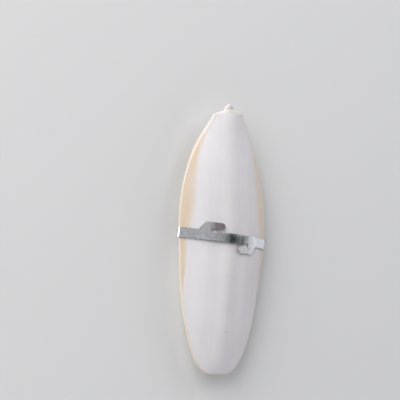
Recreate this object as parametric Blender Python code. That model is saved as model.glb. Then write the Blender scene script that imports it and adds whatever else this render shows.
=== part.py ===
"""Cuttlebone with a sheet-steel cage clip strapped round its middle.

The bone lies on its soft belly with the hard back up. +Y points to the narrow rear end, +Z up, and the
origin is at the middle of the footprint, on the surface that the bone rests on. Sizes are in metres.
"""
import math

import bmesh
import bpy
from mathutils import Matrix, Vector

COLLECTION_NAME = "cuttlebone_with_clip"

# Outline of the bone, seen from above
BONE_LENGTH = 0.190
BONE_WIDTH = 0.0762
FRONT_SHARE = 0.554         # share of the length from the blunt front end to the widest place
FRONT_POWERS = (1.55, 3.0)
REAR_POWERS = (1.91, 1.57)
SIDE_SWAY = 0.0007          # the bone is a little bent, as grown ones are
SWAY_REACH = 0.085
SIDE_LEAN = 0.0010          # its two ends lean to opposite sides
REAR_SKEW = 0.086           # its right side reaches further back than its left
SKEW_START = 0.050

# Short blunt spine at the rear end
SPINE_START = (0.020, 0.070)      # where its root begins to count in the outline
SPINE_LENGTH = 0.0035
SPINE_HALF_WIDTH = 0.0038
SPINE_POWERS = (2.0, 1.6)
SPINE_FLARE = 0.0087        # what its root adds to each side, which makes the end of the bone blunt
FLARE_REACH = 0.0039
SPINE_CREST = 0.0011
SPINE_THICKNESS = 0.0010    # what it adds to the brim
SPINE_ROOT = 0.0012
SPINE_BLEND = 4             # the higher, the sharper the corner between spine and bone

# Hard back
BRIM_HEIGHT = 0.0130        # edge of the bone above the surface it rests on
CREST_HEIGHT = 0.0095       # middle of the back above the edge
ARCH_POWER = 2.2
ARCH_MIX = 0.75             # share of a plain arch in the back's section, the rest has a flat margin
CREST_FRONT = (2.2, 0.7)
CREST_REAR = (2.0, 0.5)
RIB_HEIGHT = 0.00045
RIB_PITCH = 0.022
RIB_SPREAD = 0.017
RIB_FADE = (0.6, -0.020, 0.060)   # share lost towards the rear, and where
TIP_RISE = 0.003
TIP_RISE_REACH = 0.012
WING_DROP = 0.0005
WING_THICKNESS = 0.0013     # what the rear wings add to the brim
WING_PLACE = 0.026          # from the rear tip
WING_REACH = 0.018

# Soft belly
BRIM_THICKNESS = 0.0011
BRIM_SHARES = (0.08, 0.22)  # free brim as a share of the half width, front and rear
BRIM_CHANGE = (-0.040, 0.040)
BELLY_INSET = 0.0030        # at both ends
LEAST_BELLY = 0.15
LEAST_WIDTH = 0.000001
BELLY_PLACE = -0.004        # lowest station
BELLY_FRONT_END = -0.0920
BELLY_FRONT_POWERS = (2.2, 1.6)
BELLY_REAR_END = 0.086
BELLY_REAR_POWER = 2.3
BELLY_SECTION = (2.5, 0.72)
REST_FLAT = 0.0004          # the soft chalk is worn flat where the bone rests
CUP_DEPTH = 0.0026
CUP_START = (0.055, 0.082)
CUP_END = (0.004, 0.013)    # from the rear tip
SULCUS_DEPTH = 0.0008
SULCUS_SPREAD = 0.0040
SULCUS_START = (-0.050, -0.020)
SULCUS_END = (0.050, 0.070)

# Clip
SHEET = 0.0005
GAP = 0.0003
STRAP_WIDTH = 0.0070
STRAP_TURN = math.radians(-3.8)
STRAP_PLACE = 0.0006
TINE_REACH = 0.0124
TINE_EDGES = (-0.0033, 0.0020)
FINGER_TIP = 0.0065
FINGER_EDGES = (0.0046, 0.0094)
FINGER_BEND = math.radians(2.0)
CROTCH = 0.0171
SHOULDER = 0.0212
NECK = 0.0267
LAP_CHANGE = (0.0180, 0.0260)

# Groove that the strap presses in the belly
GROOVE_DEPTH = SHEET + GAP  # the strap lies flush with the worn flat
GROOVE_HALF = 0.0042
GROOVE_RAMP = 0.0011
GROOVE_SIDES = (0.62, 0.86)

# Fineness of the solids
COLUMNS = 56
END_ROWS = 30
SPINE_ROWS = 6
BRIM_COLUMNS = 3
TURNED_ROWS = 0.03
SKIN_COLUMNS = 8 * COLUMNS
SKIN_ROWS = 4
SKIN_MARGIN = 0.0002
BELT_STEP = math.radians(0.5)
LEAST_STEP = 0.0000001
STATION_TURN = math.radians(9)
STATION_LENGTH = 0.0042
ARC_POINTS = 7
WELD = 0.00001
CUT_SNAP = 0.000002
SMOOTH_ANGLE = math.radians(35)

BRIM_TURN_SHARE = 4 * BRIM_COLUMNS / COLUMNS
HALF_LENGTH = BONE_LENGTH / 2
FRONT_LENGTH = BONE_LENGTH * FRONT_SHARE
WIDEST = FRONT_LENGTH - HALF_LENGTH
REAR_END = HALF_LENGTH - SPINE_LENGTH
REAR_LENGTH = REAR_END - WIDEST


def clear_scene():
    for item in list(bpy.data.objects):
        bpy.data.objects.remove(item, do_unlink=True)


def smooth(value, low, high):
    """0 below low, 1 above high, and an even S between them."""
    share = min(1.0, max(0.0, (value - low) / (high - low)))
    return share * share * (3 - 2 * share)


def from_widest(y):
    """0 at the widest place and 1 at the end on y's side, with whether that is the front."""
    front = y < WIDEST
    reach = FRONT_LENGTH if front else REAR_LENGTH
    return min(1.0, abs(y - WIDEST) / reach), front


def spine_share(y):
    """1 where the spine is as wide and high as it gets, down to 0 at the tip, and 0 on the front half."""
    inner, outer = SPINE_POWERS
    along = min(1.0, max(0.0, (y - REAR_END) / SPINE_LENGTH))
    return smooth(y, *SPINE_START) * (1 - along ** inner) ** (1 / outer)


def with_spine(size, spine):
    return (size ** SPINE_BLEND + spine ** SPINE_BLEND) ** (1 / SPINE_BLEND)


def half_width(y):
    share, front = from_widest(y)
    inner, outer = FRONT_POWERS if front else REAR_POWERS
    half = BONE_WIDTH / 2 * (1 - share ** inner) ** (1 / outer)
    root_width = SPINE_HALF_WIDTH + SPINE_FLARE * smooth(REAR_END - y, 0.0, FLARE_REACH)
    return with_spine(half, root_width * spine_share(y))


def middle_line(y):
    sway = math.sin(math.pi * min(1.0, abs(y) / SWAY_REACH)) ** 2
    return SIDE_LEAN * (y / HALF_LENGTH) ** 3 - SIDE_SWAY * sway


def placed(x, y, height):
    """Puts a point, given from the straight middle line, on the bent and skewed bone."""
    skew = REAR_SKEW * x * smooth(y, SKEW_START, REAR_END)
    return Vector((x + middle_line(y), y + skew, height))


def wing(y):
    """1 at the widest place of the two wings beside the rear cup, and 0 far from it."""
    return math.exp(-((HALF_LENGTH - y - WING_PLACE) / WING_REACH) ** 2)


def brim_height(y):
    """Height of the bone's edge: the rear wings reach down, and the tip turns up."""
    return BRIM_HEIGHT - WING_DROP * wing(y) + TIP_RISE * math.exp((y - HALF_LENGTH) / TIP_RISE_REACH)


def brim_thickness(y):
    wings = WING_THICKNESS * wing(y) * smooth(HALF_LENGTH - y, 0.0, WING_PLACE / 2)
    return BRIM_THICKNESS + wings + SPINE_THICKNESS * smooth(y, REAR_END - SPINE_ROOT, REAR_END + SPINE_ROOT)


def crest(y):
    share, front = from_widest(y)
    inner, outer = CREST_FRONT if front else CREST_REAR
    return with_spine(CREST_HEIGHT * (1 - share ** inner) ** outer, SPINE_CREST * spine_share(y))


def back_height(x, y):
    """Height of the hard back at x from the middle line."""
    side = min(1.0, abs(x) / max(half_width(y), LEAST_WIDTH))
    arch = ARCH_MIX * (1 - side ** ARCH_POWER) + (1 - ARCH_MIX) * math.cos(math.pi * side / 2) ** 2
    share = crest(y) / CREST_HEIGHT
    lost, start, end = RIB_FADE
    strength = 1 - lost * smooth(y, start, end)
    rib = math.cos(math.tau * x / RIB_PITCH) * math.exp(-(x / RIB_SPREAD) ** 2)
    return brim_height(y) + crest(y) * arch + RIB_HEIGHT * strength * share * rib


def belly_half_width(y):
    """The belly's own outline stops short of both ends, and it is narrower than the bone by the brim."""
    front, rear = BRIM_SHARES
    share = front + (rear - front) * smooth(y, *BRIM_CHANGE)
    stretched = y * HALF_LENGTH / (HALF_LENGTH - BELLY_INSET)
    inside = half_width(max(-HALF_LENGTH, min(HALF_LENGTH, stretched)))
    return max(inside * (1 - share), LEAST_BELLY * half_width(y))


def belly_line(y, edge):
    """Lowest height of the belly's section, where edge is the height at its foot on the brim."""
    if y < BELLY_PLACE:
        share = min(1.0, (BELLY_PLACE - y) / (BELLY_PLACE - BELLY_FRONT_END))
        inner, outer = BELLY_FRONT_POWERS
        return edge * (1 - (1 - share ** inner) ** (1 / outer))
    share = min(1.0, (y - BELLY_PLACE) / (BELLY_REAR_END - BELLY_PLACE))
    from_tip = HALF_LENGTH - y
    cup = CUP_DEPTH * smooth(y, *CUP_START) * smooth(from_tip, *CUP_END)
    return edge * math.sin(math.pi * share / 2) ** BELLY_REAR_POWER + cup


def strap_press(side, y, x):
    """How far the strap presses the belly in, at side, 0 to 1 from the middle to the belly's foot."""
    off = abs((y - STRAP_PLACE) * math.cos(STRAP_TURN) - x * math.sin(STRAP_TURN))
    across = 1 - smooth(off, GROOVE_HALF, GROOVE_HALF + GROOVE_RAMP)
    return GROOVE_DEPTH * across * (1 - smooth(side, *GROOVE_SIDES))


def belly_height(x, y):
    """Height of the belly at x from the middle line, inside the brim."""
    foot = belly_half_width(y)
    side = min(1.0, abs(x) / max(foot, LEAST_WIDTH))
    edge = back_height(foot, y) - brim_thickness(y)
    low = belly_line(y, edge)
    inner, outer = BELLY_SECTION
    chalk = edge - (edge - low) * (1 - side ** inner) ** outer
    sulcus = SULCUS_DEPTH * smooth(y, *SULCUS_START) * (1 - smooth(y, *SULCUS_END))
    chalk += sulcus * math.exp(-(x / SULCUS_SPREAD) ** 2)
    return max(chalk, REST_FLAT) + strap_press(side, y, x)


def bone_point(y, turn):
    """Point of the bone's skin: turn runs from the right edge over the back, then under the belly."""
    half = half_width(y)
    if turn <= math.pi:
        x = half * math.cos(turn)
        return placed(x, y, back_height(x, y))
    across = (turn - math.pi) / math.pi * 2 - 1
    inward = (1 - abs(across)) / BRIM_TURN_SHARE
    foot = belly_half_width(y)
    if inward < 1:
        x = math.copysign(half + (foot - half) * inward, across)
        height = back_height(x, y) - brim_thickness(y) * min(1.0, inward * BRIM_COLUMNS)
    else:
        share = (inward - 1) / (1 / BRIM_TURN_SHARE - 1)
        x = math.copysign(foot * math.cos(share * math.pi / 2), across)
        height = belly_height(x, y)
    return placed(x, y, height)


def row_places():
    """Stations along the bone, close together at both ends, on the spine and beside the strap."""
    side = GROOVE_HALF + GROOVE_RAMP
    middle = [STRAP_PLACE + off for off in (-side, -GROOVE_HALF, 0.0, GROOVE_HALF, side)]
    turns = [math.sin(math.pi / 2 * row / END_ROWS) for row in range(1, END_ROWS + 1)]
    front = [middle[0] - (middle[0] + HALF_LENGTH) * turn for turn in turns]
    rear = [middle[-1] + (REAR_END - middle[-1]) * turn for turn in turns]
    turns = [math.sin(math.pi / 2 * row / SPINE_ROWS) for row in range(1, SPINE_ROWS + 1)]
    spine = [REAR_END + SPINE_LENGTH * turn for turn in turns]
    return front[::-1] + middle + rear + spine


def with_strap(x, y):
    """Turns the rows near the strap to its direction."""
    return y + math.tan(STRAP_TURN) * x * math.exp(-((y - STRAP_PLACE) / TURNED_ROWS) ** 4)


def cuttlebone():
    places = row_places()
    shell = bmesh.new()
    bmesh.ops.create_uvsphere(shell, u_segments=COLUMNS, v_segments=len(places) - 1, radius=1.0)
    for vertex in shell.verts:
        row = round(math.acos(max(-1.0, min(1.0, vertex.co.z))) / math.pi * (len(places) - 1))
        turn = math.atan2(vertex.co.y, vertex.co.x) % math.tau
        y = places[row]
        if 0 < row < len(places) - 1:
            y = with_strap(bone_point(y, turn).x, y)
        vertex.co = bone_point(y, turn)
    return finish("cuttlebone", shell, material("cuttlebone_chalk", (0.80, 0.79, 0.77), 0.75, 0.0))


def strap_axes():
    along = Vector((math.cos(STRAP_TURN), math.sin(STRAP_TURN), 0))
    across = Vector((-math.sin(STRAP_TURN), math.cos(STRAP_TURN), 0))
    return along, across


def skin_under_strap():
    """Points of the bone's skin below the strap, in the strap's own section plane."""
    along, across = strap_axes()
    points = []
    for row in range(-SKIN_ROWS, SKIN_ROWS + 1):
        off = row / SKIN_ROWS * (STRAP_WIDTH / 2 + SKIN_MARGIN)
        for column in range(SKIN_COLUMNS):
            turn = math.tau * column / SKIN_COLUMNS
            x = bone_point(STRAP_PLACE + off, turn).x
            y = STRAP_PLACE + off / math.cos(STRAP_TURN) + x * math.tan(STRAP_TURN)
            point = bone_point(y, turn)
            points.append((point.dot(along), point.z))
    return points


def belt():
    """Middle of the sheet in the section plane, from the top middle over the left edge and round."""
    skin = skin_under_strap()
    path = []
    for step in range(int(math.tau / BELT_STEP) + 1):
        angle = math.pi / 2 + step * BELT_STEP
        out = Vector((math.cos(angle), math.sin(angle)))
        touch = max(skin, key=lambda point: point[0] * out.x + point[1] * out.y)
        path.append((Vector(touch) + out * (GAP + SHEET / 2), angle))
    return start_in_middle(path)


def start_in_middle(path):
    """Moves the path's start to the middle line and adds the length so far to each point."""
    first = next(i for i, (point, angle) in enumerate(path) if point.x <= 0)
    turned = path[first:-1] + [(point, angle + math.tau) for point, angle in path[:first]]
    start = turned[0][0].copy()
    start.x = 0.0
    turned.insert(0, (start, turned[0][1]))
    turned.append((start, turned[0][1] + math.tau))
    length = 0.0
    measured = [(0.0, *turned[0])]
    for before, here in zip(turned, turned[1:]):
        step = (here[0] - before[0]).length
        if step > LEAST_STEP:
            length += step
            measured.append((length, *here))
    return measured


def on_belt(path, along):
    """Point and outward angle at a length along the belt, which goes round again past its ends."""
    whole = path[-1][0]
    laps = math.floor(along / whole)
    rest = along - laps * whole
    for before, here in zip(path, path[1:]):
        if rest <= here[0]:
            share = (rest - before[0]) / (here[0] - before[0])
            return before[1].lerp(here[1], share), before[2] + (here[2] - before[2]) * share
    return path[-1][1], path[-1][2]


def arc(middle, radius, start, end):
    turns = [start + (end - start) * i / (ARC_POINTS - 1) for i in range(ARC_POINTS)]
    return [(middle[0] + radius * math.cos(turn), middle[1] + radius * math.sin(turn)) for turn in turns]


def fork():
    """One end of the flat blank: the tine, the slot for the cage wire, and the finger."""
    low, high = TINE_EDGES
    inside, outside = FINGER_EDGES
    slot = (inside - high) / 2
    round_tip = (outside - inside) / 2
    points = [(-TINE_REACH, low), (-TINE_REACH, high)]
    points += arc((CROTCH - slot, high + slot), slot, -math.pi / 2, math.pi / 2)
    points += arc((FINGER_TIP + round_tip, inside + round_tip), round_tip, -math.pi / 2, -math.pi * 3 / 2)
    return points + [(SHOULDER, outside), (NECK, STRAP_WIDTH / 2)]


def blank_outline(whole):
    one = [(NECK, -STRAP_WIDTH / 2)] + fork()
    return one + [(whole - along, -across) for along, across in one]


def flat_blank(whole):
    """The clip's sheet before it is bent, as a filled outline with the sheet's thickness."""
    curve = bpy.data.curves.new("clip_blank", "CURVE")
    curve.dimensions = "2D"
    curve.fill_mode = "BOTH"
    curve.extrude = SHEET / 2
    outline = blank_outline(whole)
    spline = curve.splines.new("POLY")
    spline.points.add(len(outline) - 1)
    for point, (along, across) in zip(spline.points, outline):
        point.co = (along, across, 0, 1)
    spline.use_cyclic_u = True
    guide = bpy.data.objects.new("clip_blank", curve)
    bpy.context.scene.collection.objects.link(guide)
    mesh = bpy.data.meshes.new_from_object(guide.evaluated_get(bpy.context.evaluated_depsgraph_get()))
    bpy.data.objects.remove(guide)
    blank = bmesh.new()
    blank.from_mesh(mesh)
    bpy.data.meshes.remove(mesh)
    bmesh.ops.remove_doubles(blank, verts=blank.verts, dist=WELD)
    return blank


def stations(path):
    """Lengths along the belt where the sheet is creased, close together where it bends."""
    places = []
    last_length, last_angle = 0.0, path[0][2]
    for before, here in zip(path, path[1:]):
        if here[2] - last_angle > STATION_TURN or here[0] - last_length > STATION_LENGTH:
            if before[0] > last_length:
                places.append(before[0])
            last_length, last_angle = before[0], before[2]
        if here[0] - before[0] > STATION_LENGTH:
            places.append(here[0])
            last_length, last_angle = here[0], here[2]
    whole = path[-1][0]
    count = round(TINE_REACH / STATION_LENGTH)
    ends = [TINE_REACH * i / count for i in range(count)]
    round_bone = [place for place in places if place < whole]
    return round_bone + [-end for end in ends] + [whole + end for end in ends]


def lap_lift(along):
    """The end that laps on top is lifted by one sheet and a gap."""
    return (SHEET + GAP) * (1 - smooth(along, *LAP_CHANGE))


def on_sheet(path, along, across):
    """Point and outward angle of the sheet: a finger runs straight on from the crotch, bent up a little."""
    whole = path[-1][0]
    first_end = along < whole / 2
    crotch = CROTCH if first_end else whole - CROTCH
    beyond = crotch - along if first_end else along - crotch
    side = across if first_end else -across
    if beyond <= 0 or side < (TINE_EDGES[1] + FINGER_EDGES[0]) / 2:
        return on_belt(path, along)
    point, angle = on_belt(path, crotch)
    ahead = -1 if first_end else 1
    angle -= ahead * FINGER_BEND
    return point + ahead * beyond * Vector((-math.sin(angle), math.cos(angle))), angle


def bend(blank, path):
    along_axis, across_axis = strap_axes()
    middle = Vector((0, STRAP_PLACE, 0))
    for vertex in blank.verts:
        along, across, out = vertex.co
        point, angle = on_sheet(path, along, across)
        point = point + Vector((math.cos(angle), math.sin(angle))) * (out + lap_lift(along))
        vertex.co = middle + along_axis * point.x + across_axis * across + Vector((0, 0, point.y))


def holder_clip():
    path = belt()
    blank = flat_blank(path[-1][0])
    for place in stations(path):
        whole = blank.verts[:] + blank.edges[:] + blank.faces[:]
        bmesh.ops.bisect_plane(blank, geom=whole, dist=CUT_SNAP, plane_co=(place, 0, 0), plane_no=(1, 0, 0))
    bend(blank, path)
    bmesh.ops.triangulate(blank, faces=blank.faces)
    bmesh.ops.recalc_face_normals(blank, faces=blank.faces)
    return finish("holder_clip", blank, material("galvanised_sheet", (0.56, 0.57, 0.58), 0.38, 1.0))


def material(name, colour, roughness, metallic):
    made = bpy.data.materials.new(name)
    made.use_nodes = True
    shader = made.node_tree.nodes["Principled BSDF"]
    shader.inputs["Base Color"].default_value = (*colour, 1)
    shader.inputs["Roughness"].default_value = roughness
    shader.inputs["Metallic"].default_value = metallic
    return made


def finish(name, shape, look):
    mesh = bpy.data.meshes.new(name)
    shape.to_mesh(mesh)
    shape.free()
    mesh.materials.append(look)
    mesh.shade_smooth()
    mesh.set_sharp_from_angle(angle=SMOOTH_ANGLE)
    made = bpy.data.objects.new(name, mesh)
    bpy.data.collections[COLLECTION_NAME].objects.link(made)
    return made


def stand_on_origin(pieces):
    """Puts the middle of the footprint at the origin and the lowest point at height 0."""
    points = [vertex.co for piece in pieces for vertex in piece.data.vertices]
    low = Vector([min(point[i] for point in points) for i in range(3)])
    high = Vector([max(point[i] for point in points) for i in range(3)])
    shift = Matrix.Translation((-(low.x + high.x) / 2, -(low.y + high.y) / 2, -low.z))
    for piece in pieces:
        piece.data.transform(shift)


def main():
    clear_scene()
    collection = bpy.data.collections.new(COLLECTION_NAME)
    bpy.context.scene.collection.children.link(collection)
    stand_on_origin([cuttlebone(), holder_clip()])


main()
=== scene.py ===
"""Looks of the cuttlebone and its cage clip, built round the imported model. Sizes are in metres.

The bone lies on its soft belly with the hard back up and +Y towards its narrow rear end.
"""
import math

import bmesh
import bpy
import numpy as np
from mathutils import Matrix, Vector


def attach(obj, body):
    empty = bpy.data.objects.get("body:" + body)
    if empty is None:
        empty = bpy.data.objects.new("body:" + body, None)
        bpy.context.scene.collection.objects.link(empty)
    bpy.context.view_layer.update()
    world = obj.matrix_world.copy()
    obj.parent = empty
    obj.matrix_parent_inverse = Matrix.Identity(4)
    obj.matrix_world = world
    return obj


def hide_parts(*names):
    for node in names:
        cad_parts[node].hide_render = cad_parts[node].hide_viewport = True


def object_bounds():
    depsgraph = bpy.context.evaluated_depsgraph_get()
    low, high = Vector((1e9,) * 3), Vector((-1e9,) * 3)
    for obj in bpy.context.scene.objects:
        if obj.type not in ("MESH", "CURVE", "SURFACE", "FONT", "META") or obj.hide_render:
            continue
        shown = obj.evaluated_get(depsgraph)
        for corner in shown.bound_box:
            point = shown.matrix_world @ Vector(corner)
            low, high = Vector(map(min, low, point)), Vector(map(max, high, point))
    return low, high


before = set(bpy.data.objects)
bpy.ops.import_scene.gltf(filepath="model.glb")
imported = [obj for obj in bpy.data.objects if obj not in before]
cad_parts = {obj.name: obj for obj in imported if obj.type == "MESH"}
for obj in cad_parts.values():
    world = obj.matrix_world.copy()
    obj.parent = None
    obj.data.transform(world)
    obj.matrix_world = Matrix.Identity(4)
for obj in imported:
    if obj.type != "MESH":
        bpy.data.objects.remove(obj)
cad_low, cad_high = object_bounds()

# Outline of the bone, seen from above
BONE_LENGTH = 0.190
BONE_WIDTH = 0.0762
FRONT_SHARE = 0.554         # share of the length from the blunt front end to the widest place
FRONT_POWERS = (1.55, 3.0)  # of (1 - share ** first) ** (1 / second), as in all names with POWERS
REAR_POWERS = (1.91, 1.57)
SIDE_SWAY = 0.0007
SWAY_REACH = 0.085
SIDE_LEAN = 0.0010
REAR_SKEW = 0.086
SKEW_START = 0.050
EDGE_CHIPS = 0.006          # share of the half width that small chips take
CHIP_SCALE = 190.0

# Short blunt spine at the rear end
SPINE_START = (0.020, 0.070)
SPINE_LENGTH = 0.0035
SPINE_HALF_WIDTH = 0.0038
SPINE_POWERS = (2.0, 1.6)
SPINE_FLARE = 0.0087
FLARE_REACH = 0.0039
SPINE_CREST = 0.0011
SPINE_THICKNESS = 0.0010
SPINE_ROOT = 0.0012
SPINE_BLEND = 4

# Hard back
BRIM_HEIGHT = 0.0130
CREST_HEIGHT = 0.0095
ARCH_POWER = 2.2
ARCH_MIX = 0.75
CREST_FRONT = (2.2, 0.7)    # of (1 - share ** first) ** second, as in CREST_REAR and BELLY_SECTION
CREST_REAR = (2.0, 0.5)
RIB_HEIGHT = 0.00045
RIB_PITCH = 0.022
RIB_SPREAD = 0.017
RIB_FADE = (0.6, -0.020, 0.060)     # share lost, from y, to y
TIP_RISE = 0.003
TIP_RISE_REACH = 0.012
WING_DROP = 0.0005
WING_THICKNESS = 0.0013
WING_PLACE = 0.026
WING_REACH = 0.018

# Soft belly
BRIM_THICKNESS = 0.0011
BRIM_SHARES = (0.08, 0.22)
BRIM_CHANGE = (-0.040, 0.040)
BELLY_INSET = 0.0030
LEAST_BELLY = 0.15
BELLY_PLACE = -0.004
BELLY_FRONT_END = -0.0920
BELLY_FRONT_POWERS = (2.2, 1.6)
BELLY_REAR_END = 0.086
BELLY_REAR_POWER = 2.3
BELLY_SECTION = (2.5, 0.72)
REST_FLAT = 0.0004
CUP_DEPTH = 0.0026
CUP_START = (0.055, 0.082)
CUP_END = (0.004, 0.013)
SULCUS_DEPTH = 0.0008
SULCUS_SPREAD = 0.0040
SULCUS_START = (-0.050, -0.020)
SULCUS_END = (0.050, 0.070)

# Growth lines and other low relief, too fine for the solid
GROWTH_BOW = 30.0           # how fast a growth line runs back towards the sides, per metre
BACK_LINE_PITCH = 0.0065
BACK_LINE_HEIGHT = 0.000025
BACK_WAVES = 0.00010
RIM_CALM = 0.004            # the relief of the back fades out over this distance to the rim
WAVE_SCALE = 60.0
BELLY_LINE_PITCH = 0.0017
BELLY_LINE_HEIGHT = 0.00011
BELLY_LINE_WARP = 0.0016
BELLY_LINE_DIP = 0.0045     # the lines bend towards the front in the middle groove
LINED_START = (-0.016, -0.011)
LINED_END = (0.070, 0.084)
LAST_CHAMBER_STEP = 0.00030
WARP_SCALE = 55.0

# Clip
SHEET = 0.0005
GAP = 0.0003
STRAP_WIDTH = 0.0070
STRAP_TURN = math.radians(-3.8)
STRAP_PLACE = 0.0006
TINE_REACH = 0.0124
TINE_EDGES = (-0.0033, 0.0020)
FINGER_TIP = 0.0065
FINGER_EDGES = (0.0046, 0.0094)
FINGER_BEND = math.radians(2.0)
CROTCH = 0.0171
SHOULDER = 0.0212
NECK = 0.0267
LAP_CHANGE = (0.0135, 0.0360)
SHEET_ROUNDING = 0.00010
GROOVE_DEPTH = SHEET + GAP
GROOVE_HALF = 0.0042
GROOVE_RAMP = 0.0011
GROOVE_SIDES = (0.62, 0.86)

# Fineness of the meshes
COLUMNS = 190
ROWS = 518
BRIM_COLUMNS = 9
EVEN_POWER = 4
TURNED_ROWS = 0.03
SEED = 7
BELT_ANGLES = 720
BELT_BLUR = 3
BELT_LEAD = 0.016
SKIN_MARGIN = 0.0002
CREASE_STEP = 0.0008
ARC_POINTS = 17
WELD = 0.000005
CUT_SNAP = 0.000001
TINY = 0.000001
SLOPE_STEP = 0.0001
SMOOTH_ANGLE = math.radians(40)

HALF_LENGTH = BONE_LENGTH / 2
BRIM_TURN_SHARE = 4 * BRIM_COLUMNS / COLUMNS
SOCKETS = {
    float: "NodeSocketFloat",
    int: "NodeSocketInt",
    bpy.types.Material: "NodeSocketMaterial",
    bpy.types.Object: "NodeSocketObject",
}


class Wire:
    """A number, vector or colour on its way through a node tree. Arithmetic on numbers adds Math nodes."""

    def __init__(self, nodes, socket):
        self.nodes = nodes
        self.socket = socket

    def math(self, operation, *values):
        return self.nodes.add("ShaderNodeMath", {"operation": operation}, dict(enumerate(values)))

    def other(self, name):
        """Another output of the node that this wire leaves."""
        return Wire(self.nodes, self.socket.node.outputs[name])

    def __add__(self, value):
        return self.math("ADD", self, value)

    def __radd__(self, value):
        return self.math("ADD", value, self)

    def __sub__(self, value):
        return self.math("SUBTRACT", self, value)

    def __rsub__(self, value):
        return self.math("SUBTRACT", value, self)

    def __mul__(self, value):
        return self.math("MULTIPLY", self, value)

    def __rmul__(self, value):
        return self.math("MULTIPLY", value, self)

    def __truediv__(self, value):
        return self.math("DIVIDE", self, value)

    def __rtruediv__(self, value):
        return self.math("DIVIDE", value, self)

    def __pow__(self, value):
        return self.math("POWER", self, value)


class Nodes:
    """Adds nodes to one tree."""

    def __init__(self, tree):
        self.tree = tree

    def add(self, kind, settings=None, sockets=None, output=0):
        """A node of that kind: its settings are made first, then the values or links of its sockets."""
        node = self.tree.nodes.new(kind)
        for name, value in (settings or {}).items():
            setattr(node, name, value)
        for key, value in (sockets or {}).items():
            if isinstance(value, Wire):
                self.tree.links.new(value.socket, node.inputs[key])
            else:
                node.inputs[key].default_value = value
        return Wire(self, node.outputs[output]) if node.outputs else node


def sine(value):
    return value.math("SINE", value)


def cosine(value):
    return value.math("COSINE", value)


def root(value):
    return value.math("SQRT", value)


def size_of(value):
    return value.math("ABSOLUTE", value)


def sign_of(value):
    return value.math("SIGN", value)


def bell(value):
    """1 where value is 0, and less and less on both sides."""
    return value.math("EXPONENT", value * value * -1.0)


def at_most(value, limit):
    return value.math("MINIMUM", value, limit)


def at_least(value, limit):
    return value.math("MAXIMUM", value, limit)


def above(value, limit):
    return value.math("GREATER_THAN", value, limit)


def pick(test, no, yes):
    return (yes - no) * test + no


def smooth(value, low, high):
    """0 below low, 1 above high, and an even S between them."""
    sockets = {"Value": value, "From Min": low, "From Max": high}
    return value.nodes.add("ShaderNodeMapRange", {"interpolation_type": "SMOOTHSTEP"}, sockets)


def noise(place, scale, detail=2.0, roughness=0.5, seed=SEED):
    """Soft noise from 0 to 1 at a place in space."""
    sockets = {"Vector": place, "W": float(seed), "Scale": scale, "Detail": detail, "Roughness": roughness}
    return place.nodes.add("ShaderNodeTexNoise", {"noise_dimensions": "4D"}, sockets)


def even(share):
    """Even steps that draw together only near 1, so that round ends stay round."""
    return share * (1 + (1 - share ** EVEN_POWER) / EVEN_POWER)


def with_spine(size, spine):
    """The larger of two sizes, with a rounded corner where they change over."""
    return (size ** SPINE_BLEND + spine ** SPINE_BLEND) ** (1 / SPINE_BLEND)


def in_space(nodes, x, y, z=0.0):
    return nodes.add("ShaderNodeCombineXYZ", None, {0: x, 1: y, 2: z})


def shaped(name, grow, values, start=None):
    """Runs a Geometry Nodes tree with named inputs, and returns its result as a plain mesh object."""
    tree = bpy.data.node_groups.new(name, "GeometryNodeTree")
    tree.interface.new_socket("Geometry", in_out="OUTPUT", socket_type="NodeSocketGeometry")
    tree.interface.new_socket("Geometry", in_out="INPUT", socket_type="NodeSocketGeometry")
    for label, value in values.items():
        tree.interface.new_socket(label, in_out="INPUT", socket_type=SOCKETS[type(value)])
    nodes = Nodes(tree)
    given = tree.nodes.new("NodeGroupInput")
    wires = {socket.name: Wire(nodes, socket) for socket in given.outputs if socket.name}
    made = nodes.add("GeometryNodeRealizeInstances", None, {0: grow(nodes, wires)})
    made = nodes.add("GeometryNodeSetMaterial", None, {"Geometry": made, "Material": wires["Material"]})
    nodes.add("NodeGroupOutput", None, {0: made})
    host = bpy.data.objects.new(name, start or bpy.data.meshes.new(name))
    bpy.context.scene.collection.objects.link(host)
    modifier = host.modifiers.new(name, "NODES")
    modifier.node_group = tree
    for item in tree.interface.items_tree:
        if item.in_out == "INPUT" and item.name in values:
            modifier[item.identifier] = values[item.name]
    seen = bpy.context.evaluated_depsgraph_get()
    mesh = bpy.data.meshes.new_from_object(
        host.evaluated_get(seen), preserve_all_data_layers=True, depsgraph=seen
    )
    host.modifiers.remove(modifier)
    host.data = mesh
    mesh.name = name
    return host


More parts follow.
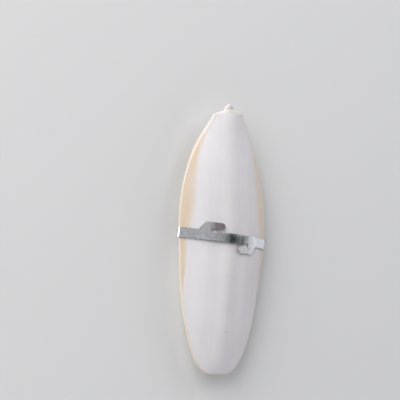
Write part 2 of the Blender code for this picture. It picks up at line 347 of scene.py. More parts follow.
class BoneForm:
    """The bone's outline and heights as fields: y is the place along it, and x the one across it."""

    def __init__(self, sizes):
        self.half_length = sizes["Length"] / 2
        self.front = sizes["Length"] * FRONT_SHARE
        self.widest = self.front - self.half_length
        self.rear_end = self.half_length - sizes["Spine Length"]
        self.rear = self.rear_end - self.widest
        self.spine = sizes["Spine Length"]
        self.half = sizes["Width"] / 2
        self.brim = sizes["Brim Height"]
        self.crest = sizes["Crest Height"]
        self.relief = sizes["Relief"]

    def from_widest(self, y):
        """0 at the widest place and 1 at the end on y's side, with 1 where that is the rear."""
        rear = above(y, self.widest)
        reach = pick(rear, self.front, self.rear)
        return at_most(size_of(y - self.widest) / reach, 1.0), rear

    def spine_share(self, y):
        """1 where the spine has its full size, down to 0 at the tip, and 0 on the front half."""
        inner, outer = SPINE_POWERS
        along = at_most(at_least((y - self.rear_end) / self.spine, 0.0), 1.0)
        return smooth(y, *SPINE_START) * (1 - along ** inner) ** (1 / outer)

    def half_width(self, y):
        share, rear = self.from_widest(y)
        inner = pick(rear, FRONT_POWERS[0], REAR_POWERS[0])
        outer = pick(rear, FRONT_POWERS[1], REAR_POWERS[1])
        half = self.half * (1 - share ** inner) ** (1 / outer)
        root_width = SPINE_HALF_WIDTH + smooth(self.rear_end - y, 0.0, FLARE_REACH) * SPINE_FLARE
        return with_spine(half, root_width * self.spine_share(y))

    def edge_distance(self, x, y):
        """How far a point is inside the outline: exact at the edge, and close to it further in."""
        rim = self.half_width(y)
        slope = (self.half_width(y + SLOPE_STEP) - self.half_width(y - SLOPE_STEP)) / (2 * SLOPE_STEP)
        sideways = (rim - size_of(x)) / root(slope * slope + 1)
        return at_least(at_most(sideways, self.half_length - size_of(y)), 0.0)

    def middle_line(self, y):
        wave = sine(at_most(size_of(y) / SWAY_REACH, 1.0) * math.pi)
        share = y / self.half_length
        return share * share * share * SIDE_LEAN - wave * wave * SIDE_SWAY

    def placed(self, x, y, height):
        """Puts a point, given from the straight middle line, on the bent and skewed bone."""
        skew = x * smooth(y, SKEW_START, self.rear_end) * REAR_SKEW
        return in_space(self.half.nodes, x + self.middle_line(y), y + skew, height)

    def wing(self, y):
        return bell((self.half_length - y - WING_PLACE) / WING_REACH)

    def brim_height(self, y):
        tip = (y - self.half_length) / TIP_RISE_REACH
        return self.brim - self.wing(y) * WING_DROP + tip.math("EXPONENT", tip) * TIP_RISE

    def brim_thickness(self, y):
        wings = self.wing(y) * WING_THICKNESS * smooth(self.half_length - y, 0.0, WING_PLACE / 2)
        return BRIM_THICKNESS + wings + smooth(y - self.rear_end, -SPINE_ROOT, SPINE_ROOT) * SPINE_THICKNESS

    def crest_height(self, y):
        share, rear = self.from_widest(y)
        inner = pick(rear, CREST_FRONT[0], CREST_REAR[0])
        outer = pick(rear, CREST_FRONT[1], CREST_REAR[1])
        return with_spine(self.crest * (1 - share ** inner) ** outer, self.spine_share(y) * SPINE_CREST)

    def back_height(self, x, y):
        """Height of the hard back at x from the middle line."""
        side = at_most(size_of(x) / at_least(self.half_width(y), TINY), 1.0)
        flank = cosine(side * (math.pi / 2))
        arch = (1 - side ** ARCH_POWER) * ARCH_MIX + flank * flank * (1 - ARCH_MIX)
        crest = self.crest_height(y)
        lost, start, end = RIB_FADE
        strength = (1 - lost * smooth(y, start, end)) * crest / self.crest
        rib = cosine(x * (math.tau / RIB_PITCH)) * bell(x / RIB_SPREAD)
        return self.brim_height(y) + crest * arch + rib * strength * RIB_HEIGHT

    def belly_half_width(self, y):
        front, rear = BRIM_SHARES
        share = front + (rear - front) * smooth(y, *BRIM_CHANGE)
        stretched = y * (HALF_LENGTH / (HALF_LENGTH - BELLY_INSET))
        inside = self.half_width(at_most(at_least(stretched, -HALF_LENGTH), HALF_LENGTH))
        return at_least(inside * (1 - share), LEAST_BELLY * self.half_width(y))

    def belly_line(self, y, edge):
        """Lowest height of the belly's section, where edge is the height at its foot on the brim."""
        share = at_most(at_least((BELLY_PLACE - y) / (BELLY_PLACE - BELLY_FRONT_END), 0.0), 1.0)
        inner, outer = BELLY_FRONT_POWERS
        front = edge * (1 - (1 - share ** inner) ** (1 / outer))
        share = at_most(at_least((y - BELLY_PLACE) / (BELLY_REAR_END - BELLY_PLACE), 0.0), 1.0)
        cup = smooth(y, *CUP_START) * smooth(self.half_length - y, *CUP_END) * CUP_DEPTH
        rear = edge * sine(share * (math.pi / 2)) ** BELLY_REAR_POWER + cup
        return pick(above(y, BELLY_PLACE), front, rear)

    def strap_press(self, side, y, x):
        off = size_of((y - STRAP_PLACE) * math.cos(STRAP_TURN) - x * math.sin(STRAP_TURN))
        across = 1 - smooth(off, GROOVE_HALF, GROOVE_HALF + GROOVE_RAMP)
        return across * (1 - smooth(side, *GROOVE_SIDES)) * GROOVE_DEPTH

    def belly_height(self, x, y):
        foot = self.belly_half_width(y)
        side = at_most(size_of(x) / at_least(foot, TINY), 1.0)
        edge = self.back_height(foot, y) - self.brim_thickness(y)
        low = self.belly_line(y, edge)
        inner, outer = BELLY_SECTION
        chalk = edge - (edge - low) * (1 - side ** inner) ** outer
        sulcus = smooth(y, *SULCUS_START) * (1 - smooth(y, *SULCUS_END)) * SULCUS_DEPTH
        chalk = chalk + sulcus * bell(x / SULCUS_SPREAD) + self.belly_relief(x, y) * (1 - side ** 8)
        return at_least(chalk, REST_FLAT) + self.strap_press(side, y, x)

    def back_relief(self, x, y):
        """Faint growth lines that follow the front end's curve, and slow waves."""
        place = in_space(self.half.nodes, x, y)
        line = y - x * x * GROWTH_BOW + noise(place, WARP_SCALE) * BELLY_LINE_WARP
        lines = sine(line * (math.tau / BACK_LINE_PITCH)) * BACK_LINE_HEIGHT
        waves = (noise(place, WAVE_SCALE, detail=3.0, seed=SEED + 1) - 0.5) * BACK_WAVES
        return (lines + waves) * self.relief

    def belly_relief(self, x, y):
        """The edges of the thin chambers, which end behind the last one in a low step."""
        place = in_space(self.half.nodes, x, y)
        dip = bell(x / SULCUS_SPREAD) * BELLY_LINE_DIP
        line = y - x * x * GROWTH_BOW + dip + noise(place, WARP_SCALE, seed=SEED + 2) * BELLY_LINE_WARP
        saw = line / BELLY_LINE_PITCH
        ridge = size_of(sine(saw * math.pi))
        zone = smooth(line, *LINED_START) * (1 - smooth(y, *LINED_END))
        waves = (noise(place, WAVE_SCALE, detail=3.0, seed=SEED + 3) - 0.5) * BACK_WAVES
        step = smooth(line, *LINED_START) * LAST_CHAMBER_STEP
        return (waves + step - ridge * zone * BELLY_LINE_HEIGHT) * self.relief


def grow_bone(nodes, sizes):
    """A sphere's rows become stations along the bone. Its columns go over the back and under the belly."""
    form = BoneForm(sizes)
    counts = {"Segments": sizes["Columns"], "Rings": sizes["Rows"]}
    ball = nodes.add("GeometryNodeMeshUVSphere", None, counts)
    at = nodes.add("ShaderNodeSeparateXYZ", None, {0: nodes.add("GeometryNodeInputPosition")})
    along = 1 - at.math("ARCCOSINE", at.other("Z")) * (2 / math.pi)
    turn = at.math("ARCTAN2", at.other("Y"), at.other("X"))
    turn = turn + (1 - above(turn, -TINY)) * math.tau
    straight = sign_of(along) * even(size_of(along)) * form.half_length * -1.0
    skew = cosine(turn) * form.half_width(straight) * math.tan(STRAP_TURN)
    off = ((straight - STRAP_PLACE) / TURNED_ROWS) ** 2
    y = straight + skew * bell(off)
    chips = noise(in_space(nodes, sign_of(cosine(turn)), y), CHIP_SCALE, detail=3.0, roughness=0.6)
    half = form.half_width(y) * (1 - smooth(chips, 0.45, 0.9) * form.relief * EDGE_CHIPS)
    under = above(turn, math.pi)
    over_share = 1 - turn * (2 / math.pi)
    x_over = sign_of(over_share) * even(at_most(size_of(over_share), 1.0)) * half
    across = (turn - math.pi) * (2 / math.pi) - 1
    inward = (1 - at_most(size_of(across), 1.0)) / BRIM_TURN_SHARE
    foot = form.belly_half_width(y)
    x_brim = half + (foot - half) * smooth(inward, 0.0, 1.0)
    middle = at_most(at_least((inward - 1) / (1 / BRIM_TURN_SHARE - 1), 0.0), 1.0)
    on_belly = above(inward, 1.0)
    x_under = sign_of(across) * pick(on_belly, x_brim, foot * even(1 - middle))
    x = pick(under, x_over, x_under)
    thickness = form.brim_thickness(y)
    edge = form.edge_distance(x * form.half_width(y) / at_least(half, TINY), y)
    near = at_most(at_least(1 - edge * 2 / thickness, 0.0), 1.0)
    rounding = (1 - root(1 - near * near)) * thickness / 2
    back = form.back_height(x, y) + form.back_relief(x, y) * smooth(edge, 0.0, RIM_CALM)
    brim = form.back_height(x, y) - thickness + rounding
    height = pick(under, back - rounding, pick(on_belly, brim, form.belly_height(x, y)))
    place = form.placed(x, y, height)
    marked = named_number(nodes, ball, "edge_mm", edge * 1000)
    marked = named_number(nodes, marked, "belly", under * on_belly)
    bone = nodes.add("GeometryNodeSetPosition", None, {"Geometry": marked, "Position": place})
    return nodes.add("GeometryNodeSetShadeSmooth", None, {"Geometry": bone})


def named_number(nodes, geometry, name, value):
    """Keeps a number for each point of the surface, for the material to read."""
    settings = {"data_type": "FLOAT", "domain": "POINT"}
    return nodes.add(
        "GeometryNodeStoreNamedAttribute", settings, {"Geometry": geometry, "Name": name, "Value": value}
    )


def strap_axes():
    along = Vector((math.cos(STRAP_TURN), math.sin(STRAP_TURN), 0))
    across = Vector((-math.sin(STRAP_TURN), math.cos(STRAP_TURN), 0))
    return along, across


def belt(bone):
    """Middle of the sheet in the section plane, from the top middle over the left edge and round.

    The strap is drawn tight, so it follows the hull of the bone's skin under it. The hull's reach in each
    direction and how that changes with the direction give the point where the strap touches.
    """
    along, across = strap_axes()
    skin = np.array([vertex.co for vertex in bone.data.vertices])
    off = skin @ np.array(across) - STRAP_PLACE * math.cos(STRAP_TURN)
    skin = skin[np.abs(off) < STRAP_WIDTH / 2 + SKIN_MARGIN]
    flat = np.stack([skin @ np.array(along), skin[:, 2]], axis=1)
    angles = math.pi / 2 + np.arange(BELT_ANGLES) * (math.tau / BELT_ANGLES)
    out = np.stack([np.cos(angles), np.sin(angles)], axis=1)
    ahead = np.stack([-out[:, 1], out[:, 0]], axis=1)
    reach = (flat @ out.T).max(axis=0)
    change = np.roll(reach, -BELT_BLUR) - np.roll(reach, BELT_BLUR)
    change = change * BELT_ANGLES / (math.tau * 2 * BELT_BLUR)
    points = out * (reach + GAP + SHEET / 2)[:, None] + ahead * change[:, None]
    first = int(np.argmax(points[:, 0] <= 0))
    points = np.roll(points, -first, axis=0)
    start = np.array([[0.0, points[0, 1]]])
    return np.concatenate([start, points[1:], start])


def lengths(points):
    steps = np.linalg.norm(np.diff(points, axis=0), axis=1)
    return np.concatenate([[0.0], np.cumsum(steps)])


def belt_guide(points):
    """The belt as a curve in space. It goes once round the bone, and on by BELT_LEAD at both ends."""
    places = lengths(points)
    whole = places[-1]
    before = [(place - whole, point) for place, point in zip(places[:-1], points[:-1])]
    before = [(place, point) for place, point in before if place > -BELT_LEAD]
    after = [(place + whole, point) for place, point in zip(places[1:], points[1:]) if place < BELT_LEAD]
    row = before + list(zip(places, points)) + after
    axis = strap_axes()[0]
    curve = bpy.data.curves.new("belt_guide", "CURVE")
    curve.dimensions = "3D"
    spline = curve.splines.new("POLY")
    spline.points.add(len(row) - 1)
    for guide, (place, point) in zip(spline.points, row):
        spot = Vector((0, STRAP_PLACE, 0)) + axis * point[0] + Vector((0, 0, point[1]))
        guide.co = (*spot, 1)
    made = bpy.data.objects.new("belt_guide", curve)
    bpy.context.scene.collection.objects.link(made)
    return made, float(whole), float(-row[0][0])


def arc(middle, radius, start, end):
    turns = [start + (end - start) * i / (ARC_POINTS - 1) for i in range(ARC_POINTS)]
    return [(middle[0] + radius * math.cos(turn), middle[1] + radius * math.sin(turn)) for turn in turns]


def fork():
    """One end of the flat blank: the tine, the slot for the cage wire, and the finger."""
    low, high = TINE_EDGES
    inside, outside = FINGER_EDGES
    slot = (inside - high) / 2
    round_tip = (outside - inside) / 2
    points = [(-TINE_REACH, low), (-TINE_REACH, high)]
    points += arc((CROTCH - slot, high + slot), slot, -math.pi / 2, math.pi / 2)
    points += arc((FINGER_TIP + round_tip, inside + round_tip), round_tip, -math.pi / 2, -math.pi * 3 / 2)
    return points + [(SHOULDER, outside), (NECK, STRAP_WIDTH / 2)]


def flat_blank(whole):
    """The clip's sheet before it is bent, with its cut edges a little rounded by tumbling.

    Its faces look inward here, because bending mirrors it and so turns them outward.
    """
    one = [(NECK, -STRAP_WIDTH / 2)] + fork()
    outline = one + [(whole - along, -across) for along, across in one]
    curve = bpy.data.curves.new("clip_blank", "CURVE")
    curve.dimensions = "2D"
    curve.fill_mode = "BOTH"
    curve.extrude = SHEET / 2 - SHEET_ROUNDING
    curve.bevel_depth = SHEET_ROUNDING
    curve.bevel_resolution = 2
    curve.offset = -SHEET_ROUNDING
    spline = curve.splines.new("POLY")
    spline.points.add(len(outline) - 1)
    for point, (along, across) in zip(spline.points, outline):
        point.co = (along, across, 0, 1)
    spline.use_cyclic_u = True
    guide = bpy.data.objects.new("clip_blank", curve)
    bpy.context.scene.collection.objects.link(guide)
    mesh = bpy.data.meshes.new_from_object(guide.evaluated_get(bpy.context.evaluated_depsgraph_get()))
    bpy.data.objects.remove(guide)
    blank = bmesh.new()
    blank.from_mesh(mesh)
    bmesh.ops.remove_doubles(blank, verts=blank.verts, dist=WELD)
    for step in range(round(-TINE_REACH / CREASE_STEP), round((whole + TINE_REACH) / CREASE_STEP)):
        parts = blank.verts[:] + blank.edges[:] + blank.faces[:]
        bmesh.ops.bisect_plane(
            blank, geom=parts, dist=CUT_SNAP, plane_co=(step * CREASE_STEP, 0, 0), plane_no=(1, 0, 0)
        )
    bmesh.ops.triangulate(blank, faces=blank.faces)
    bmesh.ops.recalc_face_normals(blank, faces=blank.faces)
    bmesh.ops.reverse_faces(blank, faces=blank.faces)
    blank.to_mesh(mesh)
    blank.free()
    return mesh


def bend_round_bone(nodes, sizes):
    """Lays the flat blank along the belt; the fingers run straight on from the crotch, bent up a little."""
    flat = nodes.add("GeometryNodeInputPosition")
    at = nodes.add("ShaderNodeSeparateXYZ", None, {0: flat})
    along, across, out = at.other("X"), at.other("Y"), at.other("Z")
    first = 1 - above(along, sizes["Belt Length"] / 2)
    ahead = pick(first, 1.0, -1.0)
    crotch = pick(first, sizes["Belt Length"] - CROTCH, CROTCH)
    beyond = at_least((along - crotch) * ahead, 0.0)
    finger = above(beyond, 0.0) * above(across * ahead * -1.0, (TINE_EDGES[1] + FINGER_EDGES[0]) / 2)
    anchor = pick(finger, along, crotch)
    guide = nodes.add("GeometryNodeObjectInfo", None, {"Object": sizes["Belt"]}, output="Geometry")
    sockets = {"Curves": guide, "Length": anchor + sizes["Lead"]}
    spot = nodes.add("GeometryNodeSampleCurve", {"mode": "LENGTH"}, sockets, output="Position")
    run = spot.other("Tangent")
    side = tuple(strap_axes()[1])
    up = vector_math(nodes, "CROSS_PRODUCT", side, run)
    bend = finger * ahead * sizes["Finger Bend"]
    run_bent = tilted(nodes, run, up, bend)
    up_bent = tilted(nodes, up, run, bend * -1.0)
    lift = (SHEET + GAP) * (1 - smooth(along, *LAP_CHANGE))
    place = vector_math(nodes, "ADD", spot, scaled(nodes, run_bent, finger * ahead * beyond))
    place = vector_math(nodes, "ADD", place, scaled(nodes, up_bent, out + lift))
    place = vector_math(nodes, "ADD", place, scaled(nodes, side, across))
    kept = {"Geometry": sizes["Geometry"], "Name": "sheet_place", "Value": flat}
    settings = {"data_type": "FLOAT_VECTOR", "domain": "POINT"}
    marked = nodes.add("GeometryNodeStoreNamedAttribute", settings, kept)
    return nodes.add("GeometryNodeSetPosition", None, {"Geometry": marked, "Position": place})


def vector_math(nodes, operation, one, other):
    return nodes.add("ShaderNodeVectorMath", {"operation": operation}, {0: one, 1: other})


def scaled(nodes, vector, factor):
    return nodes.add("ShaderNodeVectorMath", {"operation": "SCALE"}, {0: vector, "Scale": factor})


def tilted(nodes, vector, towards, angle):
    """The vector turned by a small angle towards another one that stands square on it."""
    kept = scaled(nodes, vector, cosine(angle))
    return vector_math(nodes, "ADD", kept, scaled(nodes, towards, sine(angle)))


# Material of the bone
CHALK_WHITE = (0.80, 0.775, 0.795)
CHALK_GREY = (0.72, 0.695, 0.725)
BELLY_WHITE = (0.82, 0.80, 0.75)
LINE_GREY = (0.62, 0.58, 0.52)
HORN_CREAM = (0.72, 0.58, 0.42)
HORN_PALE = (0.765, 0.665, 0.545)
HORN_RIM = (0.80, 0.715, 0.61)
SPINE_GREY = (0.68, 0.65, 0.66)
TIP_OLIVE = (0.62, 0.60, 0.47)
SPECK_GREY = (0.42, 0.40, 0.41)
HORN_LEAST_MM = 0.9
HORN_STEPS = (              # millimetres gained, from y, to y
    (3.4, -0.045, -0.010),
    (4.3, -0.008, 0.020),
    (-6.2, 0.024, 0.078),
)
HORN_FADE = (0.060, 0.086)
TIP_SPOT = (0.0018, 0.0902, 0.0160)
TIP_REACH = 0.0040
SPECK_SPOT = (0.0015, -0.0649, 0.0189)
SPECK_SIZE = 0.0013
CLOUD_SCALE = 45.0
CHALK_GRAIN_SCALE = 2600.0
BAND_SCALE = 190.0
BAND_STRETCH = 0.05         # bands and fibres run lengthwise, so places along the bone count less
RAGGED_SCALE = 110.0
PATCH_SCALE = 55.0
FIBRE_SCALE = 900.0
FIBRE_STRETCH = 0.035
FIBRE_SPREAD = 0.0028
CRUMB_SCALE = 120.0
PIMPLE_SCALE = 1100.0
FINE_LINE_PITCH = 0.0021
METRES_PER_MM = 0.0010
CHALK_GRAIN_DEPTH = 0.00004
PIMPLE_DEPTH = 0.00003
FINE_LINE_DEPTH = 0.000012
FIBRE_DEPTH = 0.00005
CHAMBER_LINE_DEPTH = 0.00008


def colour_mix(nodes, factor, one, other):
    """Mixes two colours, which are wires or plain triples."""
    sockets = {0: factor, 6: with_alpha(one), 7: with_alpha(other)}
    return nodes.add("ShaderNodeMix", {"data_type": "RGBA"}, sockets, output=2)


def with_alpha(colour):
    return colour if isinstance(colour, Wire) else (*colour, 1.0)


def attribute(nodes, name, output="Fac"):
    return nodes.add("ShaderNodeAttribute", {"attribute_name": name}, output=output)


def cells(nodes, place, scale, output, feature="F1"):
    """Cells round scattered points: their own colours, or the distance to a point or a border."""
    sockets = {"Vector": place, "Scale": scale}
    return nodes.add("ShaderNodeTexVoronoi", {"feature": feature}, sockets, output=output)


def bump(nodes, height, depth, normal=None):
    """Bump of a real depth in metres, where height runs from 0 to 1."""
    sockets = {"Height": height, "Distance": depth, "Strength": 1.0}
    if normal is not None:
        sockets["Normal"] = normal
    return nodes.add("ShaderNodeBump", None, sockets)


def surface(name):
    """An empty material with its nodes and its shader."""
    made = bpy.data.materials.new(name)
    made.use_nodes = True
    return made, Nodes(made.node_tree), made.node_tree.nodes["Principled BSDF"]


def connect(nodes, shader, **wires):
    for label, wire in wires.items():
        nodes.tree.links.new(wire.socket, shader.inputs[label.replace("_", " ")])


def spot_mask(nodes, place, middle, reach):
    """1 within a spot and 0 outside it, with a soft edge."""
    distance = nodes.add(
        "ShaderNodeVectorMath", {"operation": "DISTANCE"}, {0: place, 1: middle}, output="Value"
    )
    return 1 - smooth(distance, 0.0, reach)


def bone_material():
    made, nodes, shader = surface("bone_chalk")
    place = nodes.add("ShaderNodeTexCoord", output="Object")
    at = nodes.add("ShaderNodeSeparateXYZ", None, {0: place})
    x, y = at.other("X"), at.other("Y")
    edge = attribute(nodes, "edge_mm")
    belly = attribute(nodes, "belly")

    # Chalk with cloudy patches and fine grain
    clouds = noise(place, CLOUD_SCALE, detail=4.0, roughness=0.55)
    grain = noise(place, CHALK_GRAIN_SCALE, detail=2.0, roughness=0.6, seed=SEED + 4)
    chalk = colour_mix(nodes, smooth(clouds, 0.35, 0.75) * 0.5, CHALK_WHITE, CHALK_GREY)
    chalk = colour_mix(nodes, smooth(grain, 0.52, 0.8) * 0.25, chalk, CHALK_GREY)
    bands = noise(in_space(nodes, x, y * BAND_STRETCH), BAND_SCALE, detail=2.0, seed=SEED + 8)
    chalk = colour_mix(nodes, smooth(bands, 0.4, 0.7) * 0.3, chalk, CHALK_GREY)

    # Horn border: its width follows the place along the bone, its inner side is soft and ragged
    width = HORN_LEAST_MM
    for gained, start, end in HORN_STEPS:
        width = width + smooth(y, start, end) * gained
    ragged = noise(place, RAGGED_SCALE, detail=4.0, roughness=0.6, seed=SEED + 5) - 0.5
    width = width * (1.1 + ragged * 0.5)
    horn = (1 - smooth(edge, width * 0.5, width * 1.3)) * (1 - belly)
    patches = noise(in_space(nodes, edge * METRES_PER_MM, y), PATCH_SCALE, detail=3.0, seed=SEED + 7)
    strength = (0.82 + 0.18 * smooth(patches, 0.35, 0.6)) * (1 - 0.6 * smooth(y, *HORN_FADE))
    grown = in_space(nodes, edge * FIBRE_SPREAD, y * FIBRE_STRETCH)
    fibres = noise(grown, FIBRE_SCALE, detail=3.0, seed=SEED + 6)
    paleness = smooth(fibres, 0.3, 0.7) * 0.35 + smooth(x, -0.02, 0.03) * 0.6
    cream = colour_mix(nodes, paleness, HORN_CREAM, HORN_PALE)
    cream = colour_mix(nodes, (1 - smooth(edge, 0.3, 1.2)) * 0.5, cream, HORN_RIM)
    colour = colour_mix(nodes, horn * strength, chalk, cream)

    # Belly with the edges of its thin chambers
    line = y - x * x * GROWTH_BOW + noise(place, WARP_SCALE, seed=SEED + 2) * BELLY_LINE_WARP
    fine_lines = size_of(sine(line * (math.tau / BELLY_LINE_PITCH)))
    lined = smooth(line, *LINED_START) * (1 - smooth(y, *LINED_END)) * belly
    soft = colour_mix(nodes, (1 - fine_lines) ** 2 * lined * 0.5, BELLY_WHITE, LINE_GREY)
    colour = colour_mix(nodes, belly, colour, soft)

    # Spine with an olive streak at its root, and a few specks
    colour = colour_mix(nodes, smooth(y, HALF_LENGTH - SPINE_LENGTH, HALF_LENGTH) * 0.8, colour, SPINE_GREY)
    tip = spot_mask(nodes, place, TIP_SPOT, TIP_REACH)
    colour = colour_mix(nodes, tip * 0.35, colour, TIP_OLIVE)
    speck = spot_mask(nodes, place, SPECK_SPOT, SPECK_SIZE)
    crumbs = cells(nodes, place, CRUMB_SCALE, "Distance")
    specks = (1 - smooth(crumbs, 0.02, 0.05)) * 0.5 + speck
    colour = colour_mix(nodes, at_most(specks, 1.0) * 0.6, colour, SPECK_GREY)

    # Roughness and the relief that is finer than the mesh
    roughness = 0.62 - horn * 0.17 + belly * 0.25 + (clouds - 0.5) * 0.12
    growth = y - x * x * GROWTH_BOW + noise(place, WARP_SCALE) * BELLY_LINE_WARP
    back_lines = sine(growth * (math.tau / FINE_LINE_PITCH)) * 0.5 + 0.5
    pimples = cells(nodes, place, PIMPLE_SCALE, "Distance", feature="SMOOTH_F1")
    normal = bump(nodes, grain, CHALK_GRAIN_DEPTH)
    normal = bump(nodes, 1 - pimples, PIMPLE_DEPTH, normal)
    normal = bump(nodes, back_lines * (1 - belly), FINE_LINE_DEPTH, normal)
    normal = bump(nodes, fibres * horn, FIBRE_DEPTH, normal)
    normal = bump(nodes, fine_lines * lined, CHAMBER_LINE_DEPTH, normal)
    connect(nodes, shader, Base_Color=colour, Roughness=roughness, Normal=normal)
    shader.inputs["Specular IOR Level"].default_value = 0.35
    return made


# Material of the clip, whose patterns lie on its flat blank
ZINC_LIGHT = (0.86, 0.87, 0.90)
ZINC_DARK = (0.46, 0.465, 0.48)
CUT_EDGE = (0.30, 0.30, 0.30)
# Painted reflections: a dark brownish colour for the finger and a dark greenish one for the upper tine's
# end
PAINTED_REFLECTION_BROWN = (0.30, 0.22, 0.235)
PAINTED_REFLECTION_GREEN = (0.17, 0.20, 0.19)
FINGER_PAINTED_REFLECTION_SIDE = (0.0015, 0.0050)      # across the sheet, where the finger's painted brown reflection starts
FINGER_PAINTED_REFLECTION_END = (0.0130, 0.0185)       # along the sheet, where it fades out
TINE_PAINTED_REFLECTION_END = (0.0010, 0.0090)         # along the sheet, where the upper tine's painted green reflection fades out
TINE_PAINTED_REFLECTION_WANDER = 0.008
CRYSTAL_SCALE = 520.0
GRAIN_SCALE = 1500.0
FROST_SCALE = 3200.0
STREAK_SCALE = 5200.0
STREAK_STRETCH = 0.12
CUT_ZONE = (1.2, 0.2)       # in roundings, the depth below the sheet's two faces where cut edges show
BORDER_DEPTH = 0.000006
FROST_DEPTH = 0.000010
STREAK_DEPTH = 0.000004


def clip_material():
    made, nodes, shader = surface("galvanised_sheet")
    flat = attribute(nodes, "sheet_place", output="Vector")
    at = nodes.add("ShaderNodeSeparateXYZ", None, {0: flat})
    along, across = at.other("X"), at.other("Y")
    tone = nodes.add("ShaderNodeSeparateColor", None, {0: cells(nodes, flat, CRYSTAL_SCALE, "Color")})
    grain = nodes.add("ShaderNodeSeparateColor", None, {0: cells(nodes, flat, GRAIN_SCALE, "Color")})
    frost = noise(flat, FROST_SCALE, detail=3.0, roughness=0.65)
    streaks = in_space(nodes, along * STREAK_STRETCH, across)
    streaks = noise(streaks, STREAK_SCALE, detail=2.0, seed=SEED + 1)
    low, high = (SHEET / 2 - SHEET_ROUNDING * depth for depth in CUT_ZONE)
    cut = smooth(size_of(at.other("Z")), low, high)
    bright = tone * 0.35 + grain * 0.4 + frost * 0.25
    colour = colour_mix(nodes, bright, ZINC_DARK, ZINC_LIGHT)
    colour = colour_mix(nodes, smooth(streaks, 0.5, 0.8) * 0.3, colour, ZINC_DARK)
    # Painted reflection: a dark brownish reflection painted on the finger
    finger = smooth(across, *FINGER_PAINTED_REFLECTION_SIDE) * (1 - smooth(along, *FINGER_PAINTED_REFLECTION_END))
    colour = colour_mix(nodes, finger * smooth(frost + grain * 0.3, 0.2, 0.7) * 0.9, colour, PAINTED_REFLECTION_BROWN)
    # Painted reflection: a dark greenish reflection painted at the upper tine's end
    tine = 1 - smooth(along + (frost - 0.5) * TINE_PAINTED_REFLECTION_WANDER, *TINE_PAINTED_REFLECTION_END)
    colour = colour_mix(nodes, tine * (0.45 + 0.5 * smooth(grain, 0.1, 0.9)), colour, PAINTED_REFLECTION_GREEN)
    colour = colour_mix(nodes, cut, CUT_EDGE, colour)
    roughness = 0.18 + tone.other("Green") * 0.10 + frost * 0.06
    borders = cells(nodes, flat, CRYSTAL_SCALE, "Distance", feature="DISTANCE_TO_EDGE")
    normal = bump(nodes, smooth(borders, 0.0, 0.08), BORDER_DEPTH)
    normal = bump(nodes, frost, FROST_DEPTH, normal)
    normal = bump(nodes, streaks, STREAK_DEPTH, normal)
    connect(nodes, shader, Base_Color=colour, Roughness=roughness, Normal=normal)
    shader.inputs["Metallic"].default_value = 1.0
    return made


# Pieces
def stand_on_origin(pieces):
    """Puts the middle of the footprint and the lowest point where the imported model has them."""
    points = np.array([vertex.co for piece in pieces for vertex in piece.data.vertices])
    low, high = Vector(points.min(axis=0)), Vector(points.max(axis=0))
    aim = (cad_low + cad_high) / 2
    shift = aim - (low + high) / 2
    shift.z = cad_low.z - low.z
    for piece in pieces:
        piece.data.transform(Matrix.Translation(shift))


bone = shaped("bone_surface", grow_bone, {
    "Length": BONE_LENGTH,
    "Width": BONE_WIDTH,
    "Brim Height": BRIM_HEIGHT,
    "Crest Height": CREST_HEIGHT,
    "Spine Length": SPINE_LENGTH,
    "Relief": 1.0,
    "Rows": ROWS,
    "Columns": COLUMNS,
    "Material": bone_material(),
})
path = belt(bone)
guide, belt_length, lead = belt_guide(path)
clip = shaped("clip_strap", bend_round_bone, {
    "Belt": guide,
    "Belt Length": belt_length,
    "Lead": lead,
    "Finger Bend": FINGER_BEND,
    "Material": clip_material(),
}, start=flat_blank(belt_length))
bpy.data.objects.remove(guide)
stand_on_origin([bone, clip])
clip.data.shade_smooth()
clip.data.set_sharp_from_angle(angle=SMOOTH_ANGLE)
for piece, node, slot in ((bone, "cuttlebone", "bone_chalk"), (clip, "holder_clip", "galvanised_sheet")):
    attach(piece, "root")
    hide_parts(node)

# Floor
FLOOR_REACH = 4.0
FLOOR_PALE = (0.80, 0.80, 0.80)
FLOOR_GREY = (0.74, 0.74, 0.75)
FLOOR_CLOUD_SCALE = 6.0


def floor():
    bpy.ops.mesh.primitive_circle_add(vertices=96, radius=FLOOR_REACH, fill_type="NGON", location=(0, 0, 0))
    made = bpy.context.object
    made.name = "floor"
    look, nodes, shader = surface("floor_pale")
    place = nodes.add("ShaderNodeTexCoord", output="Object")
    colour = colour_mix(nodes, noise(place, FLOOR_CLOUD_SCALE, detail=2.0) * 0.05, FLOOR_PALE, FLOOR_GREY)
    connect(nodes, shader, Base_Color=colour)
    shader.inputs["Roughness"].default_value = 0.8
    made.data.materials.append(look)


# Camera, placed so that the photograph's scale and angle come out
FRAME_PIXELS = 400
METRES_PER_PIXEL = 0.000702
OBJECT_PIXEL = (221.3, 239.1)      # where the frame's origin, at the camera's aim height, falls
AIM = Vector((0, 0, 0.012))
CAMERA_DISTANCE = 1.4
LEAN_LEFT = math.radians(38.0)
LEAN_FRONT = math.radians(0.73)
CAMERA_TURN = math.radians(2.4)
SENSOR = 36.0


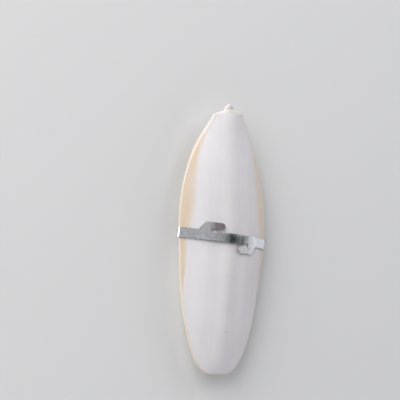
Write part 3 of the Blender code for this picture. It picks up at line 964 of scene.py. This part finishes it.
def camera():
    turned = Matrix.Rotation(CAMERA_TURN, 3, "Z")
    back = Vector((-math.sin(LEAN_LEFT), 0, math.cos(LEAN_LEFT))) * math.cos(LEAN_FRONT)
    back = turned @ (back - Vector((0, 1, 0)) * math.sin(LEAN_FRONT))
    up = turned @ Vector((0, 1, 0))
    pixels = CAMERA_DISTANCE / METRES_PER_PIXEL
    right = (-back).cross(up).normalized()
    level = right.cross(-back)
    off_x = (OBJECT_PIXEL[0] - FRAME_PIXELS / 2) / pixels
    off_y = (OBJECT_PIXEL[1] - FRAME_PIXELS / 2) / pixels
    aim = (-back - right * off_x + level * off_y).normalized()
    side = aim.cross(up).normalized()
    made = bpy.data.objects.new("camera", bpy.data.cameras.new("camera"))
    bpy.context.scene.collection.objects.link(made)
    turn = Matrix((side, side.cross(aim), -aim)).transposed()
    made.matrix_world = Matrix.Translation(AIM + back * CAMERA_DISTANCE) @ turn.to_4x4()
    made.data.sensor_width = SENSOR
    made.data.lens = SENSOR * pixels / FRAME_PIXELS
    made.data.clip_start = 0.05
    made.data.clip_end = 20.0
    bpy.context.scene.camera = made


# Light
KEY_PLACE = (-1.6, 1.1, 1.0)
KEY_SIZE = (1.8, 1.8)
KEY_POWER = 43.0
KEY_COLOUR = (1.0, 0.99, 0.975)
FILL_PLACE = (0.9, 1.3, 1.2)
FILL_SIZE = (1.2, 1.2)
FILL_POWER = 7.0
FILL_COLOUR = (0.98, 0.99, 1.0)
WALL_COLOUR = (0.92, 0.93, 0.97)
GAP_COLOUR = (0.06, 0.06, 0.065)
ROOF_COLOUR = (0.56, 0.56, 0.58)
GAP_START = (0.46, 0.52)
ROOF_START = (0.83, 0.965)


def soft_light(name, place, size, power, colour):
    lamp = bpy.data.lights.new(name, "AREA")
    lamp.shape = "RECTANGLE"
    lamp.size, lamp.size_y = size
    lamp.energy = power
    lamp.color = colour
    made = bpy.data.objects.new(name, lamp)
    made.location = place
    made.rotation_euler = (AIM - Vector(place)).to_track_quat("-Z", "Y").to_euler()
    made.visible_camera = False
    bpy.context.scene.collection.objects.link(made)


def light():
    """Two soft lamps in a room with pale walls and a pale roof panel that has a dark gap round it."""
    soft_light("key", KEY_PLACE, KEY_SIZE, KEY_POWER, KEY_COLOUR)
    soft_light("fill", FILL_PLACE, FILL_SIZE, FILL_POWER, FILL_COLOUR)
    world = bpy.data.worlds.new("studio")
    world.use_nodes = True
    nodes = Nodes(world.node_tree)
    back = world.node_tree.nodes["Background"]
    direction = nodes.add("ShaderNodeTexCoord", output="Generated")
    height = nodes.add("ShaderNodeSeparateXYZ", None, {0: direction}, output="Z")
    ceiling = colour_mix(nodes, smooth(height, *ROOF_START), GAP_COLOUR, ROOF_COLOUR)
    colour = colour_mix(nodes, smooth(height, *GAP_START), WALL_COLOUR, ceiling)
    nodes.tree.links.new(colour.socket, back.inputs["Color"])
    bpy.context.scene.world = world
    bpy.context.scene.view_settings.view_transform = "Standard"


floor()
camera()
light()
